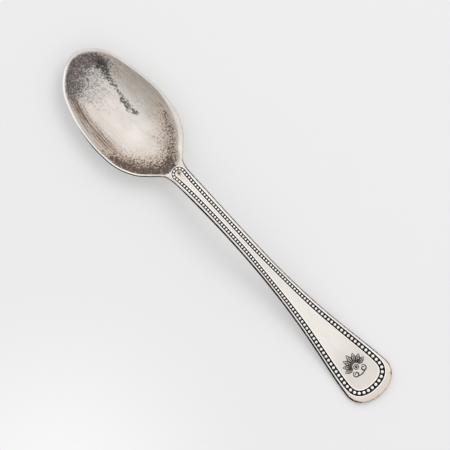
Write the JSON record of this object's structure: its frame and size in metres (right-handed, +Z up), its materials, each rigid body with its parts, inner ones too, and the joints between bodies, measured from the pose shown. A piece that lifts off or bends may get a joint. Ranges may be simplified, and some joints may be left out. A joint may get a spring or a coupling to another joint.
{
  "type": "beaded table spoon",
  "caption": "Silver-plated spoon with an oval bowl, an arched slim stem and a broad rounded handle edged with a loop of raised beads, for stirring and eating.",
  "frame": {"origin": "on the surface that the spoon lies on, below the middle of its length", "axes": "+X from the bowl to the broad end of the handle, +Z up out of the bowl, +Y to the left when looking from the bowl along the handle"},
  "size_m": [0.18, 0.0348, 0.0168],
  "materials": {
    "worn_silver": "satin",
    "satin_silver": "satin",
    "bead_silver": "polished",
    "black_tarnish": "matte",
    "engraving_tarnish": "matte"
  },
  "bodies": {
    "root": {"bowl": "worn_silver", "handle": "satin_silver", "channel_patina": "black_tarnish", "bead_row_left": "bead_silver", "bead_row_right": "bead_silver", "bead_arc_neck": "bead_silver", "bead_arc_end": "bead_silver", "crest_inlay": "engraving_tarnish"}
  },
  "joints": []
}
